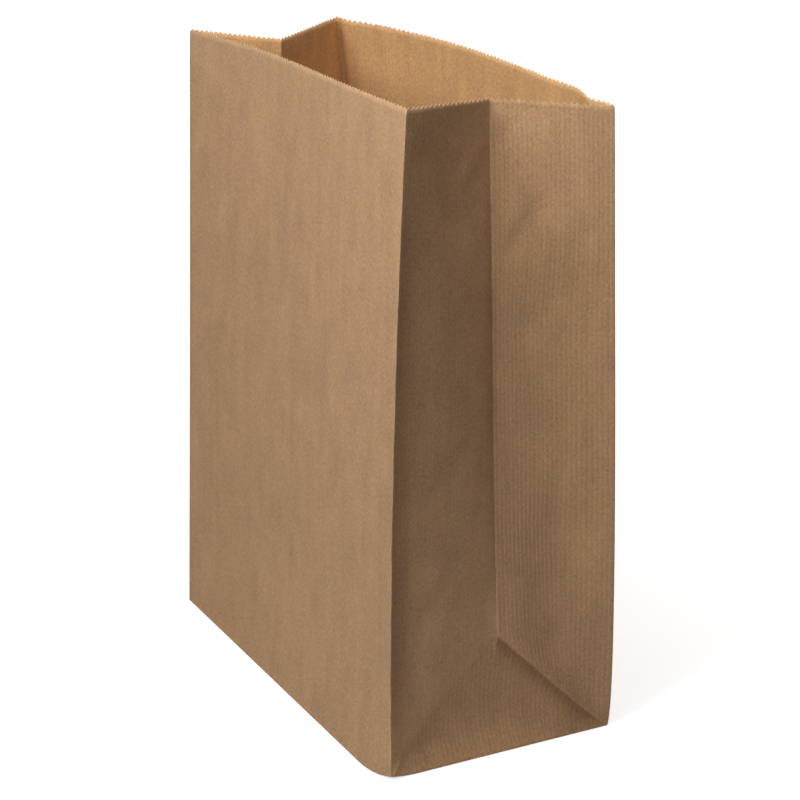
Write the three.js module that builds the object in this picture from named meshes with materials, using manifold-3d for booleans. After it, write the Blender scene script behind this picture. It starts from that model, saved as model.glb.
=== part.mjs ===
// Block-bottom paper lunch bag with side gussets, standing open.
// Frame: millimetres, +Z up, origin on the floor at the middle of the base.
// The front panel faces -Y, the gusseted sides face -X and +X.
import * as THREE from 'three';
import * as BufferGeometryUtils from 'three/addons/utils/BufferGeometryUtils.js';
import Module from 'manifold-3d';

// Driving dimensions.
const panelWidth = 205;          // front and back panels, along X
const sideWidth = 110;           // each side, along Y, folded in down its middle
const bagHeight = 280;           // along the paper, from the base to the tips of the teeth
const paper = 0.15;              // thickness of one ply
const toothPitch = 2.85;         // pinked edge round the mouth
const toothDepth = 1.3;
const seamInset = 3;             // long glued seam: from the back left corner to the inner edge
const seamLap = 28;              // and from there to the outer edge
const seamRelax = 14;            // length in which the inner ply comes back into line
const flapLap = 20;              // overlap of the two base flaps along the middle
const cornerRadius = 20;         // reach of the softly rounded near corner at the foot
const footHeight = 60;           // height in which that rounding turns into a sharp crease

const halfSide = sideWidth / 2;  // width of half a gusset, and height of the base triangle's tip
const cutStep = 0.2;             // width across which a cut edge of paper steps down

// Mesh density.
const wallRows = 14;
const panelColumns = 14;
const gussetColumns = 6;
const rimBand = 7;               // height of the last row, which carries the teeth

// Where the four standing creases leave the square box: foot and mouth offsets in X and Y,
// the drop or rise of the mouth in Z, how late up the bag the lean sets in, and a slight
// bulge along Y that is strongest low down.
const creases = {
  frontLeft: {
    side: [-1, -1], foot: [0, 0], mouth: [-7.2, 12.5], rise: -2.1, late: 1, bulge: 0,
  },
  frontRight: {
    side: [1, -1], foot: [0, 4.9], mouth: [-8.1, 16], rise: 1.8, late: 1.75, bulge: 0,
  },
  backRight: {
    side: [1, 1], foot: [0, 0], mouth: [6.3, -9.6], rise: -2.9, late: 1.3, bulge: 2.3,
  },
  backLeft: {
    side: [-1, 1], foot: [0, 0], mouth: [7.7, -30.6], rise: 0.6, late: 1, bulge: 0,
  },
};

// The creases down the middle of the sides, each from the tip of the base triangle to the
// mouth: how far they are pushed in, how far along Y they lie, how far they drop, and how
// much of the push and of the Y comes early.
const middles = {
  right: { side: 1, push: [6, 32.5], slide: [3.3, 11.1], rise: [-2.5, -4], early: [7, 2.5] },
  left: { side: -1, push: [5, 41.5], slide: [-2.5, -19.9], rise: [-1.5, -0.1], early: [6, -2] },
};

// How far the mouth of each large panel is bowed towards +Y: one half wave, one full wave
// that moves the deepest place, and waves at the rim only (place, width, height).
const bows = {
  front: { half: 4.8, full: 1.8, waves: [] },
  back: {
    half: 12, full: -1.5, waves: [[0.96, 0.06, -2.2], [0.18, 0.05, 1.9], [0.075, 0.035, -2.6]],
  },
};

// The walls of the large panels stand a little inside the base fold.
const footInset = { depth: 1.3, reach: 8 };

// How the soft halves of a side bulge (+) or sag (-): "wall" is the long stretch between its
// two heights, "pinch" the fold down the middle, "ridge" the diagonal fold of the base
// triangle with its reach above and below.
const slacks = {
  frontRight: { wall: 1, from: 90, to: 215, pinch: 1.2, ridge: -2.6, reach: [30, 20] },
  backRight: { wall: -4.6, from: 30, to: 205, pinch: 0, ridge: 3.2, reach: [30, 7] },
  frontLeft: { wall: 1, from: 60, to: 230, pinch: 0.6, ridge: 1.5, reach: [30, 8] },
  backLeft: { wall: -1.5, from: 60, to: 230, pinch: 0.4, ridge: 1.5, reach: [30, 8] },
};
const pinchReach = 3.5;
const dish = { depth: 6.5, power: 0.8 };   // how far the base triangle is drawn in

// The folded sheet.
const lerp = THREE.MathUtils.lerp;
const smooth = THREE.MathUtils.smoothstep;

// Point of a standing crease at height h along the paper.
function creasePoint(crease, h) {
  const t = h / bagHeight;
  const lean = lerp(crease.foot[1], crease.mouth[1], t ** crease.late);
  const bulge = crease.bulge * Math.sin(Math.PI * t ** 0.4);
  return new THREE.Vector3(
    crease.side[0] * panelWidth / 2 + lerp(crease.foot[0], crease.mouth[0], t),
    crease.side[1] * sideWidth / 2 + lean + bulge,
    h + crease.rise * t,
  );
}

// The same crease as the flat of the panels sees it: at the foot of the rounded corner the
// panels run on towards the square corner, and only their last stretch bends in to the crease.
function panelEnd(crease, h) {
  const point = creasePoint(crease, h);
  const firm = smooth(h, 0, footHeight);
  point.x = lerp(crease.side[0] * panelWidth / 2, point.x, firm);
  point.y = lerp(crease.side[1] * sideWidth / 2, point.y, firm);
  return point;
}

// Pull towards the real crease at a distance d along the panel.
function cornerPull(crease, d, h) {
  const reach = Math.max(0, 1 - d / cornerRadius);
  return creasePoint(crease, h).sub(panelEnd(crease, h)).multiplyScalar(reach * reach);
}

// Point of a side's middle crease, from the tip of the base triangle up to the mouth.
function middlePoint(middle, h) {
  const t = Math.max(0, (h - halfSide) / (bagHeight - halfSide));
  const early = Math.sin(Math.PI * t) * (1 - t) ** 2;
  const push = lerp(...middle.push, t) + middle.early[0] * early;
  return new THREE.Vector3(
    middle.side * (panelWidth / 2 - push),
    lerp(...middle.slide, t) + middle.early[1] * early,
    h + lerp(...middle.rise, t),
  );
}

// Front or back panel: u from its first crease, h up the paper.
function panelPoint(first, last, bow, u, h) {
  const a = u / panelWidth;
  const point = panelEnd(first, h).lerp(panelEnd(last, h), a);
  point.add(cornerPull(first, u, h));
  point.add(cornerPull(last, panelWidth - u, h));
  const wave = bow.half * Math.sin(Math.PI * a) + bow.full * Math.sin(2 * Math.PI * a);
  point.y += wave * (h / bagHeight) ** 1.5;
  for (const [centre, width, height] of bow.waves) {
    point.y += height * Math.exp(-(((a - centre) / width) ** 2)) * (h / bagHeight) ** 5;
  }
  const drawn = footInset.depth * (1 - Math.exp(-h / footInset.reach));
  const hold = smooth(Math.min(u, panelWidth - u), 0, 18) * (1 - smooth(h, 30, 120));
  point.y -= first.side[1] * drawn * hold;
  return point;
}

// How far a soft half of a side stands out at u from its standing crease.
function slackAt(slack, u, h) {
  const above = h - u;
  const toMiddle = halfSide - u;
  const hold = smooth(h, slack.from - 30, slack.from + 15)
    * (1 - smooth(h, slack.to - 25, slack.to + 25));
  const span = Math.max(Math.min(h, halfSide), 1e-6);
  const arch = Math.sin(Math.PI * Math.min(Math.max(u / span, 0), 1));
  const folded = smooth(h, 62, 85) * (1 - smooth(h, 190, 250));
  const [high, low] = slack.reach;
  const fade = above > 0 ? Math.exp(-above / high) : Math.exp(above / low) * Math.min(1, h / 10);
  const down = Math.max(-above, 0) / sideWidth;
  const far = Math.max(sideWidth - u - h, 0) / sideWidth;
  const share = 27 * down * far * (h / halfSide);
  return slack.wall * arch * hold
    + slack.pinch * (1 - Math.exp(-toMiddle / pinchReach)) * smooth(u, 0, 25) * folded
    + slack.ridge * Math.sin(Math.PI * u / halfSide) * fade
    - dish.depth * Math.max(share, 0) ** dish.power;
}

// Half a gusset: u from the standing crease (0) to the middle (halfSide). Below the diagonal
// h = u lies half of the base triangle, above it the folded side.
function gussetPoint(crease, slack, middle, u, h) {
  const tip = middlePoint(middle, halfSide);
  const diagonal = panelEnd(crease, 0).lerp(tip, u / halfSide);
  let point;
  if (h <= u) {
    const floorPoint = new THREE.Vector3(middle.side * panelWidth / 2, diagonal.y, 0);
    point = floorPoint.lerp(diagonal, u > 0 ? h / u : 0);
  } else if (h < halfSide) {
    const inner = panelEnd(crease, 0).lerp(tip, h / halfSide);
    point = panelEnd(crease, h).lerp(inner, u / h);
  } else {
    point = panelEnd(crease, h).lerp(middlePoint(middle, h), u / halfSide);
  }
  point.add(cornerPull(crease, u, h));
  point.x += middle.side * slackAt(slack, u, h);
  return point;
}

// Evenly spread columns, with others wherever the thickness changes.
function columnsOf(width, count, extra = []) {
  const columns = Array.from({ length: count + 1 }, (_, i) => width * i / count);
  const near = (u) => extra.some((e) => Math.abs(e - u) < width / count / 3);
  const inner = columns.filter((u, i) => i === 0 || i === count || !near(u));
  return [...inner, ...extra].sort((a, b) => a - b);
}

const seamStart = panelWidth - seamInset;           // measured from the back right corner
const seamEnd = seamStart - seamLap;
const seamColumns = [seamStart, seamStart - cutStep, seamEnd, seamEnd - cutStep,
  seamEnd - cutStep - seamRelax / 2, seamEnd - cutStep - seamRelax];

// Outer and inner offsets of the back panel. The ply that comes round the back left corner
// ends on the outside, at seamEnd. The panel's own ply lies under it and ends on the inside,
// at seamStart; past the lap it comes back into line.
function seamOffsets(u) {
  const half = paper / 2;
  if (u >= seamStart) return [half, half];
  if (u >= seamEnd) return [half, half + paper];
  const sunk = paper * smooth(u, seamEnd - cutStep - seamRelax, seamEnd - cutStep);
  return [half - sunk, half + sunk];
}
const plainOffsets = () => [paper / 2, paper / 2];

const { frontLeft, frontRight, backRight, backLeft } = creases;
const strips = [
  { width: panelWidth, columns: columnsOf(panelWidth, panelColumns), offsets: plainOffsets,
    at: (u, h) => panelPoint(frontLeft, frontRight, bows.front, u, h) },
  { width: halfSide, columns: columnsOf(halfSide, gussetColumns), offsets: plainOffsets,
    diagonal: (u) => u,
    at: (u, h) => gussetPoint(frontRight, slacks.frontRight, middles.right, u, h) },
  { width: halfSide, columns: columnsOf(halfSide, gussetColumns), offsets: plainOffsets,
    diagonal: (u) => halfSide - u,
    at: (u, h) => gussetPoint(backRight, slacks.backRight, middles.right, halfSide - u, h) },
  { width: panelWidth, columns: columnsOf(panelWidth, panelColumns, seamColumns),
    offsets: seamOffsets, at: (u, h) => panelPoint(backRight, backLeft, bows.back, u, h) },
  { width: halfSide, columns: columnsOf(halfSide, gussetColumns), offsets: plainOffsets,
    diagonal: (u) => u,
    at: (u, h) => gussetPoint(backLeft, slacks.backLeft, middles.left, u, h) },
  { width: halfSide, columns: columnsOf(halfSide, gussetColumns), offsets: plainOffsets,
    diagonal: (u) => halfSide - u,
    at: (u, h) => gussetPoint(frontLeft, slacks.frontLeft, middles.left, halfSide - u, h) },
];

// The middle surface of the paper: points with their two offsets, and triangles whose
// normals point out of the bag.
const sheet = { points: [], offsets: [], faces: [] };

function addPoint(point, offsets) {
  sheet.points.push(point);
  sheet.offsets.push(offsets);
  return sheet.points.length - 1;
}

// Heights of a column's vertices: first down the base triangle, then up the wall.
function columnHeights(strip, u) {
  const start = strip.diagonal ? strip.diagonal(u) : 0;
  const steps = strip.diagonal ? Math.round(start / (halfSide / gussetColumns)) : 0;
  const lower = Array.from({ length: steps }, (_, j) => start * j / steps);
  const top = bagHeight - rimBand;
  const upper = Array.from({ length: wallRows + 1 }, (_, j) => lerp(start, top, j / wallRows));
  return [...lower, ...upper];
}

const ring = [];                 // one entry for each column round the bag
for (const strip of strips) {
  strip.columns.slice(0, -1).forEach((u) => {
    const heights = columnHeights(strip, u);
    const ids = heights.map((h) => addPoint(strip.at(u, h), strip.offsets(u)));
    ring.push({ strip, u, ids });
  });
}

// Walls: neighbouring columns are joined from the top down, so that the wall rows match and
// the steps of the base triangle end on its diagonals.
ring.forEach((column, i) => {
  const a = column.ids;
  const b = ring[(i + 1) % ring.length].ids;
  const rows = Math.min(a.length, b.length) - 1;
  for (let j = 0; j < rows; j++) {
    const [a1, b1] = [a.length - 1 - j, b.length - 1 - j];
    sheet.faces.push([a[a1 - 1], b[b1 - 1], b[b1]], [a[a1 - 1], b[b1], a[a1]]);
  }
  const [a0, b0] = [a.length - 1 - rows, b.length - 1 - rows];
  if (a0 > 0) sheet.faces.push([a[a0 - 1], b[b0], a[a0]]);
  if (b0 > 0) sheet.faces.push([a[a0], b[b0 - 1], b[b0]]);
});
const baseLoop = ring.map((column) => column.ids[0]);

// Teeth: two points a tooth along each strip, valley then tip, joined to the last row.
const rimLoop = [];
for (const strip of strips) {
  const teeth = Math.round(strip.width / toothPitch);
  const along = Array.from({ length: 2 * teeth }, (_, k) => strip.width * k / (2 * teeth));
  const rim = along.map((u, k) => {
    const h = bagHeight - (k % 2 ? 0 : toothDepth);
    return { u, id: addPoint(strip.at(u, h), strip.offsets(u)) };
  });
  strip.rim = rim;
  rimLoop.push(...rim.map((r) => r.id));
}
strips.forEach((strip, s) => {
  const next = strips[(s + 1) % strips.length];
  const upper = [...strip.rim, { u: strip.width, id: next.rim[0].id }];
  const ownColumns = ring.filter((column) => column.strip === strip);
  const nextColumn = ring.find((column) => column.strip === next);
  const lower = [...ownColumns, nextColumn].map((column, k) => (
    { u: strip.columns[k], id: column.ids.at(-1) }));
  let [i, j] = [0, 0];
  while (i < lower.length - 1 || j < upper.length - 1) {
    const stepLower = j === upper.length - 1
      || (i < lower.length - 1 && lower[i + 1].u <= upper[j + 1].u);
    if (stepLower) sheet.faces.push([lower[i].id, lower[++i].id, upper[j].id]);
    else sheet.faces.push([lower[i].id, upper[j + 1].id, upper[j++].id]);
  }
});

// Offset direction of each point: the mean of its faces' normals, lengthened so that the
// paper keeps its thickness on both sides of a crease.
const normals = sheet.faces.map(([a, b, c]) => {
  const triangle = new THREE.Triangle(sheet.points[a], sheet.points[b], sheet.points[c]);
  return triangle.getNormal(new THREE.Vector3());
});
const touching = sheet.points.map(() => []);
sheet.faces.forEach((face, f) => {
  face.forEach((id, k) => {
    const here = sheet.points[id];
    const one = sheet.points[face[(k + 1) % 3]].clone().sub(here);
    const two = sheet.points[face[(k + 2) % 3]].clone().sub(here);
    touching[id].push({ normal: normals[f], angle: one.angleTo(two) });
  });
});
const directions = touching.map((list) => {
  const mean = new THREE.Vector3();
  list.forEach(({ normal, angle }) => mean.addScaledVector(normal, angle));
  mean.normalize();
  const total = list.reduce((sum, { angle }) => sum + angle, 0);
  const spread = list.reduce((sum, { normal, angle }) => sum + angle * normal.dot(mean), 0);
  return mean.divideScalar(Math.max(0.2, spread / total));
});

const basePlies = 3 * paper;     // end flaps, inner flap and outer flap
const onBase = new Set(baseLoop);
function shellPoint(id, side) {
  const point = sheet.points[id].clone();
  const offset = sheet.offsets[id][side > 0 ? 0 : 1];
  point.addScaledVector(directions[id], side * offset);
  if (onBase.has(id)) point.z = side > 0 ? 0 : basePlies;
  return point;
}
const outer = sheet.points.map((_, id) => shellPoint(id, 1));
const inner = sheet.points.map((_, id) => shellPoint(id, -1));

function shellManifold(wasm) {
  const count = sheet.points.length;
  const faces = [];
  for (const [a, b, c] of sheet.faces) {
    faces.push([a, b, c], [a + count, c + count, b + count]);
  }
  rimLoop.forEach((id, k) => {
    const next = rimLoop[(k + 1) % rimLoop.length];
    faces.push([id, next, next + count], [id, next + count, id + count]);
  });
  // The base is closed by a fan from its middle, below and above.
  const [middleBelow, middleAbove] = [2 * count, 2 * count + 1];
  baseLoop.forEach((id, k) => {
    const next = baseLoop[(k + 1) % baseLoop.length];
    faces.push([middleBelow, next, id], [middleAbove, id + count, next + count]);
  });
  const centres = [new THREE.Vector3(0, 0, 0), new THREE.Vector3(0, 0, basePlies)];
  const vertices = [...outer, ...inner, ...centres].flatMap((point) => point.toArray());
  return new wasm.Manifold(new wasm.Mesh({
    numProp: 3,
    vertProperties: new Float32Array(vertices),
    triVerts: new Uint32Array(faces.flat()),
  }));
}

// Seen from below, the end triangles lie deepest, the inner flap covers them, and the outer
// flap, lowest, covers the inner one.
function recess(wasm, outline, depth) {
  const shape = new THREE.Shape(outline.map(([x, y]) => new THREE.Vector2(x, y)));
  const below = 1;
  const geometry = new THREE.ExtrudeGeometry(shape, { depth: depth + below, bevelEnabled: false });
  geometry.translate(0, 0, -below);
  geometry.deleteAttribute('normal');
  geometry.deleteAttribute('uv');
  const merged = BufferGeometryUtils.mergeVertices(geometry, 1e-4);
  return new wasm.Manifold(new wasm.Mesh({
    numProp: 3,
    vertProperties: new Float32Array(merged.attributes.position.array),
    triVerts: new Uint32Array(merged.index.array),
  }));
}

function foldedBase(wasm, shell) {
  const margin = 2;              // paper left at the folds round the base
  const x = panelWidth / 2 - margin;
  const y = sideWidth / 2 - margin;
  const edge = flapLap / 2;      // the outer flap's free edge, past the middle of the base
  const inset = halfSide - edge; // the flaps' ends are cut by folds at 45 degrees
  const innerFlap = [[x - inset, edge], [x - margin, y], [margin - x, y], [inset - x, edge]];
  const endTriangle = (side) => [
    [side * x, -y + margin], [side * x, y - margin], [side * (x - halfSide + margin), 0],
  ];
  let result = shell.subtract(recess(wasm, innerFlap, paper));
  for (const side of [1, -1]) {
    const outline = endTriangle(side);
    if (side < 0) outline.reverse();
    result = result.subtract(recess(wasm, outline, 2 * paper));
  }
  return result;
}

const wasm = await Module();
wasm.setup();
const solid = foldedBase(wasm, shellManifold(wasm));
const result = solid.getMesh();
const geometry = new THREE.BufferGeometry();
geometry.setAttribute('position', new THREE.BufferAttribute(result.vertProperties, 3));
geometry.setIndex(new THREE.BufferAttribute(result.triVerts, 1));
geometry.computeVertexNormals();

const kraftPaper = new THREE.MeshStandardMaterial({
  color: new THREE.Color(0.62, 0.48, 0.35), roughness: 0.85, metalness: 0,
});
const paperBag = new THREE.Mesh(geometry, kraftPaper);
paperBag.name = 'paper_bag';

const bag = new THREE.Group();
bag.add(paperBag);
export default bag;
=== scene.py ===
import math

import bpy
import numpy as np
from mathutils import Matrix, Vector


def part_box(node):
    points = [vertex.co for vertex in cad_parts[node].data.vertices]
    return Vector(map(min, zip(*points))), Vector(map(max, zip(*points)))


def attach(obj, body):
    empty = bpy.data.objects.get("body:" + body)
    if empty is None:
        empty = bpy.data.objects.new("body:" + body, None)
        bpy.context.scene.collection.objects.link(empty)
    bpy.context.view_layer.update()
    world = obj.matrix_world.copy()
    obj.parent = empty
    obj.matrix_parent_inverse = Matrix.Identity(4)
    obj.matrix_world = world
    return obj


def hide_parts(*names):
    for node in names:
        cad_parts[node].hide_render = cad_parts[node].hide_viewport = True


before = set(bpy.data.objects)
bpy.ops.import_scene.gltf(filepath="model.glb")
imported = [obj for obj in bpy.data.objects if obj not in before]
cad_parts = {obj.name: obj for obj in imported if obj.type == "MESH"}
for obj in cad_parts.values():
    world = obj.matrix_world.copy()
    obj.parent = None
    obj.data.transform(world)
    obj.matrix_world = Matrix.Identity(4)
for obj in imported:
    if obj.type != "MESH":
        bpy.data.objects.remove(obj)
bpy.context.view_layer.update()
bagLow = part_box("paper_bag")[0]

mm = 0.001  # the folding tables below are in millimetres, the scene is in metres


# Camera: a long lens from above the near corner, level and with no shift.
cameraSetup = {
    "azimuth": 62.53,  # degrees round from the front panel
    "height": 19.7,  # degrees above the horizon
    "place": (0.8756, -0.4479, 0.4793),
    "lens": 106.1,
    "sensor": 36.0,
}


def makeCamera(setup):
    data = bpy.data.cameras.new("camera")
    data.lens = setup["lens"]
    data.sensor_width = setup["sensor"]
    data.clip_start = 0.01
    data.clip_end = 50.0
    camera = bpy.data.objects.new("camera", data)
    bpy.context.scene.collection.objects.link(camera)
    turn = math.radians(setup["azimuth"])
    rise = math.radians(setup["height"])
    back = Vector((
        math.sin(turn) * math.cos(rise),
        -math.cos(turn) * math.cos(rise),
        math.sin(rise),
    ))
    camera.location = setup["place"]
    camera.rotation_mode = "QUATERNION"
    camera.rotation_quaternion = back.to_track_quat("Z", "Y")
    bpy.context.scene.camera = camera


makeCamera(cameraSetup)


# Studio: a white floor, three soft lights in front and one behind.
studio = {
    "backdrop": 1.0,  # white behind everything, for the camera only
    "floorColor": (0.86, 0.86, 0.86),
    "floorGlow": (0.62, 1.1),  # keeps the floor white, for the camera only, near and far
    "glowReach": (0.16, 0.6),
    "bounceGlow": 0.05,  # lights the foot of the bag from below
    "floorSize": 12.0,
    # name: where it is, what it looks at, its size, its power
    "lights": {
        "key": {"at": (0.1703, -0.4679, 0.5678), "size": 0.35, "watts": 2.69},
        "top": {"at": (0.1097, -0.0686, 0.633), "size": 0.30, "watts": 0.86},
        "side": {"at": (0.2109, -0.1217, 0.7527), "size": 0.35, "watts": 0.82},
        "back": {"at": (-0.45, 0.75, 0.32), "size": 0.5, "watts": 3.2},
    },
    "aim": (0.0, 0.0, 0.15),
}


def makeLight(name, light):
    data = bpy.data.lights.new(name, "AREA")
    data.shape = "SQUARE"
    data.size = light["size"]
    data.energy = light["watts"]
    lamp = bpy.data.objects.new(name, data)
    bpy.context.scene.collection.objects.link(lamp)
    lamp.location = light["at"]
    away = Vector(light["at"]) - Vector(studio["aim"])
    lamp.rotation_mode = "QUATERNION"
    lamp.rotation_quaternion = away.to_track_quat("Z", "Y")
    lamp.visible_camera = False


def makeStudio(setup):
    scene = bpy.context.scene
    scene.view_settings.view_transform = "Standard"
    world = bpy.data.worlds.new("studio")
    world.use_nodes = True
    background = world.node_tree.nodes["Background"]
    background.inputs["Color"].default_value = (1.0, 1.0, 1.0, 1.0)
    rays = world.node_tree.nodes.new("ShaderNodeLightPath")
    seen = world.node_tree.nodes.new("ShaderNodeMath")
    seen.operation = "MULTIPLY"
    seen.inputs[1].default_value = setup["backdrop"]
    world.node_tree.links.new(rays.outputs["Is Camera Ray"], seen.inputs[0])
    world.node_tree.links.new(seen.outputs[0], background.inputs["Strength"])
    scene.world = world
    half = setup["floorSize"] / 2
    mesh = bpy.data.meshes.new("floor")
    mesh.from_pydata(
        [(-half, -half, 0), (half, -half, 0), (half, half, 0), (-half, half, 0)],
        [],
        [(0, 1, 2, 3)],
    )
    floor = bpy.data.objects.new("floor", mesh)
    scene.collection.objects.link(floor)
    floor.location.z = bagLow.z
    paint = bpy.data.materials.new("floorPaint")
    paint.use_nodes = True
    shader = paint.node_tree.nodes["Principled BSDF"]
    shader.inputs["Base Color"].default_value = (*setup["floorColor"], 1.0)
    shader.inputs["Roughness"].default_value = 0.9
    # the glow grows with the distance from the bag, and doesn't light the bag
    nodes, links = paint.node_tree.nodes, paint.node_tree.links
    place = nodes.new("ShaderNodeTexCoord")
    away = nodes.new("ShaderNodeVectorMath")
    away.operation = "LENGTH"
    links.new(place.outputs["Object"], away.inputs[0])
    spread = nodes.new("ShaderNodeMapRange")
    spread.inputs["From Min"].default_value = setup["glowReach"][0]
    spread.inputs["From Max"].default_value = setup["glowReach"][1]
    spread.inputs["To Min"].default_value = setup["floorGlow"][0]
    spread.inputs["To Max"].default_value = setup["floorGlow"][1]
    links.new(away.outputs["Value"], spread.inputs["Value"])
    rays = nodes.new("ShaderNodeLightPath")
    glow = nodes.new("ShaderNodeMath")
    glow.operation = "MULTIPLY"
    links.new(spread.outputs["Result"], glow.inputs[1])
    links.new(rays.outputs["Is Camera Ray"], glow.inputs[0])
    shader.inputs["Emission Color"].default_value = (1.0, 1.0, 1.0, 1.0)
    bounce = nodes.new("ShaderNodeMath")
    bounce.operation = "ADD"
    links.new(glow.outputs[0], bounce.inputs[0])
    bounce.inputs[1].default_value = setup["bounceGlow"]
    links.new(bounce.outputs[0], shader.inputs["Emission Strength"])
    mesh.materials.append(paint)
    for name, light in setup["lights"].items():
        makeLight(name, light)


makeStudio(studio)
print("camera and studio ready")


# The folded sheet, all in millimetres. Heights h and widths u run along the paper.
bag = {
    "panelWidth": 205.0,  # front and back, along X
    "sideWidth": 110.0,  # each gusseted side, along Y
    "height": 280.0,  # from the base to the tips of the teeth
    "paper": 0.15,
    "cornerRadius": 20.0,  # reach of the softened near corner at the foot
    "footHeight": 60.0,  # height in which it turns into a sharp crease
}
halfSide = bag["sideWidth"] / 2

# Foot and mouth offsets of the four standing creases from the square box, the rise of the
# mouth, how late the lean sets in, and a bulge along Y that is strongest low down.
creases = {
    "frontLeft": {
        "side": (-1, -1), "foot": (0, 0), "mouth": (-7.2, 12.5), "rise": -2.1,
        "late": 1.0, "bulge": 0.0,
    },
    "frontRight": {
        "side": (1, -1), "foot": (0, 4.9), "mouth": (-8.1, 16), "rise": 1.8,
        "late": 1.75, "bulge": 0.0,
    },
    "backRight": {
        "side": (1, 1), "foot": (0, 0), "mouth": (6.3, -9.6), "rise": -2.9,
        "late": 1.3, "bulge": 2.3,
    },
    "backLeft": {
        "side": (-1, 1), "foot": (0, 0), "mouth": (7.7, -30.6), "rise": 0.6,
        "late": 1.0, "bulge": 0.0,
    },
}

footInset = {"depth": 1.3, "reach": 8.0}

# The creases down the middle of the sides, each from the tip of the base triangle to the
# mouth: how far they are pushed in, how far along Y they lie, how far they drop, and how
# much of the push comes early.
middles = {
    "right": {"side": 1, "push": (6.0, 32.5), "slide": (3.3, 11.1), "rise": (-2.5, -4.0),
              "early": (7.0, 2.5)},
    "left": {"side": -1, "push": (5.0, 41.5), "slide": (-2.5, -19.9), "rise": (-1.5, -0.1),
             "early": (6.0, -2.0)},
}

# How far the mouths of the two large panels are bowed towards +Y: one half wave, and one
# full wave that moves the deepest place.
bows = {
    "front": {"half": 4.8, "full": 1.8, "waves": ()},
    # waves at the rim only: their place along the panel, width and height
    "back": {"half": 12.0, "full": -1.5,
             "waves": ((0.96, 0.06, -2.2), (0.18, 0.05, 1.9), (0.075, 0.035, -2.6))},
}


def mix(a, b, t):
    return a + (b - a) * t


def smooth(x, low, high):
    t = np.clip((x - low) / (high - low), 0.0, 1.0)
    return t * t * (3.0 - 2.0 * t)


def creaseLine(crease, h):
    t = np.maximum(h / bag["height"], 0.0)
    x = crease["side"][0] * bag["panelWidth"] / 2 + mix(crease["foot"][0], crease["mouth"][0], t)
    lean = mix(crease["foot"][1], crease["mouth"][1], t ** crease["late"])
    bulge = crease["bulge"] * np.sin(math.pi * np.minimum(t, 1.0) ** 0.4)
    y = crease["side"][1] * halfSide + lean + bulge
    return np.stack([x, y, h + crease["rise"] * t], -1)


def panelEnd(crease, h):
    # where the flat of a panel would meet the crease, before the soft foot is pulled in
    line = creaseLine(crease, h)
    firm = smooth(h, 0.0, bag["footHeight"])
    line[:, 0] = mix(crease["side"][0] * bag["panelWidth"] / 2, line[:, 0], firm)
    line[:, 1] = mix(crease["side"][1] * halfSide, line[:, 1], firm)
    return line


def cornerPull(crease, d, h):
    reach = np.maximum(0.0, 1.0 - d / bag["cornerRadius"]) ** 2
    return (creaseLine(crease, h) - panelEnd(crease, h)) * reach[:, None]


def middleLine(middle, h):
    t = np.maximum(0.0, (h - halfSide) / (bag["height"] - halfSide))
    early = np.sin(math.pi * t) * (1 - t) ** 2
    push = mix(*middle["push"], t) + middle["early"][0] * early
    slide = mix(*middle["slide"], t) + middle["early"][1] * early
    x = middle["side"] * (bag["panelWidth"] / 2 - push)
    return np.stack([x, slide, h + mix(*middle["rise"], t)], -1)


def panelSurface(first, last, bow, u, h):
    a = u / bag["panelWidth"]
    place = mix(panelEnd(first, h), panelEnd(last, h), a[:, None])
    place += cornerPull(first, u, h) + cornerPull(last, bag["panelWidth"] - u, h)
    wave = bow["half"] * np.sin(math.pi * a) + bow["full"] * np.sin(2 * math.pi * a)
    place[:, 1] += wave * np.maximum(h / bag["height"], 0.0) ** 1.5
    for centre, width, height in bow["waves"]:
        swell = height * np.exp(-((a - centre) / width) ** 2)
        place[:, 1] += swell * np.maximum(h / bag["height"], 0.0) ** 5
    # the walls stand a little inside the base fold
    nearest = np.minimum(u, bag["panelWidth"] - u)
    drawn = footInset["depth"] * (1 - np.exp(-h / footInset["reach"])) * smooth(nearest, 0, 18)
    place[:, 1] -= first["side"][1] * drawn * (1 - smooth(h, 30, 120))
    return place


def gussetSurface(crease, middle, u, h):
    # u runs from the standing crease to the middle; below h = u lies the base triangle
    foot = panelEnd(crease, np.zeros_like(h))
    tip = middleLine(middle, np.full_like(h, halfSide))
    part = (u / halfSide)[:, None]
    diagonal = mix(foot, tip, part)
    floorLine = np.stack([
        np.full_like(h, middle["side"] * bag["panelWidth"] / 2),
        diagonal[:, 1],
        np.zeros_like(h),
    ], -1)
    low = mix(floorLine, diagonal, (h / np.maximum(u, 1e-6))[:, None])
    inner = mix(foot, tip, (h / halfSide)[:, None])
    slant = mix(panelEnd(crease, h), inner, (u / np.maximum(h, 1e-6))[:, None])
    wall = mix(panelEnd(crease, h), middleLine(middle, h), part)
    place = np.where((h <= u)[:, None], low, np.where((h < halfSide)[:, None], slant, wall))
    place += cornerPull(crease, u, h)
    place[:, 0] += middle["side"] * slackOf(crease, u, h)
    return place


# How the soft halves of a side bulge (+) or sag (-), in millimetres across the paper.
# "wall" is the long stretch between its two heights, "pinch" the fold down the middle,
# "ridge" the diagonal fold of the base triangle with its reach above and below.
slacks = {
    (1, -1): {"wall": 1.0, "from": 90, "to": 215, "pinch": 1.2, "ridge": -2.6, "reach": (30, 20)},
    (1, 1): {"wall": -4.6, "from": 30, "to": 205, "pinch": 0.0, "ridge": 3.2, "reach": (30, 7)},
    (-1, -1): {"wall": 1.0, "from": 60, "to": 230, "pinch": 0.6, "ridge": 1.5, "reach": (30, 8)},
    (-1, 1): {"wall": -1.5, "from": 60, "to": 230, "pinch": 0.4, "ridge": 1.5, "reach": (30, 8)},
}
pinchReach = 3.5
dish = {"depth": 6.5, "power": 0.8}  # how far the base triangle is drawn in

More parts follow.
